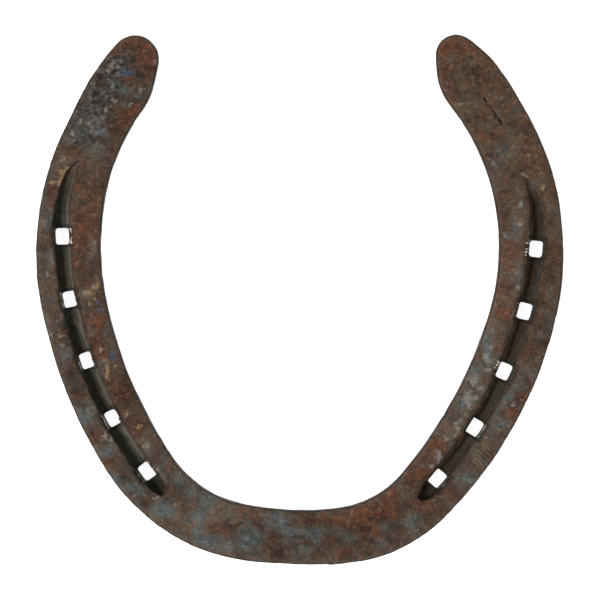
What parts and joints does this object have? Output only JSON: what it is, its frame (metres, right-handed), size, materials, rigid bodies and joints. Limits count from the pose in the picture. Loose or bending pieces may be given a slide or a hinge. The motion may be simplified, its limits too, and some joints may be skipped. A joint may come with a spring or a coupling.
{
  "type": "horseshoe",
  "caption": "Forged horseshoe with plain flat heels and a crease along each branch, pierced by rectangular nail holes.",
  "frame": {"origin": "middle of the shoe's bounding box, on the face that lies against the hoof", "axes": "+Z out through the creased ground face, +Y from the toe towards the open heels, +X towards the branch with the nick in its heel"},
  "size_m": [0.1318, 0.1325, 0.008],
  "materials": {
    "rusted_steel": "matte"
  },
  "bodies": {
    "root": {"forged_shoe": "rusted_steel"}
  },
  "joints": []
}
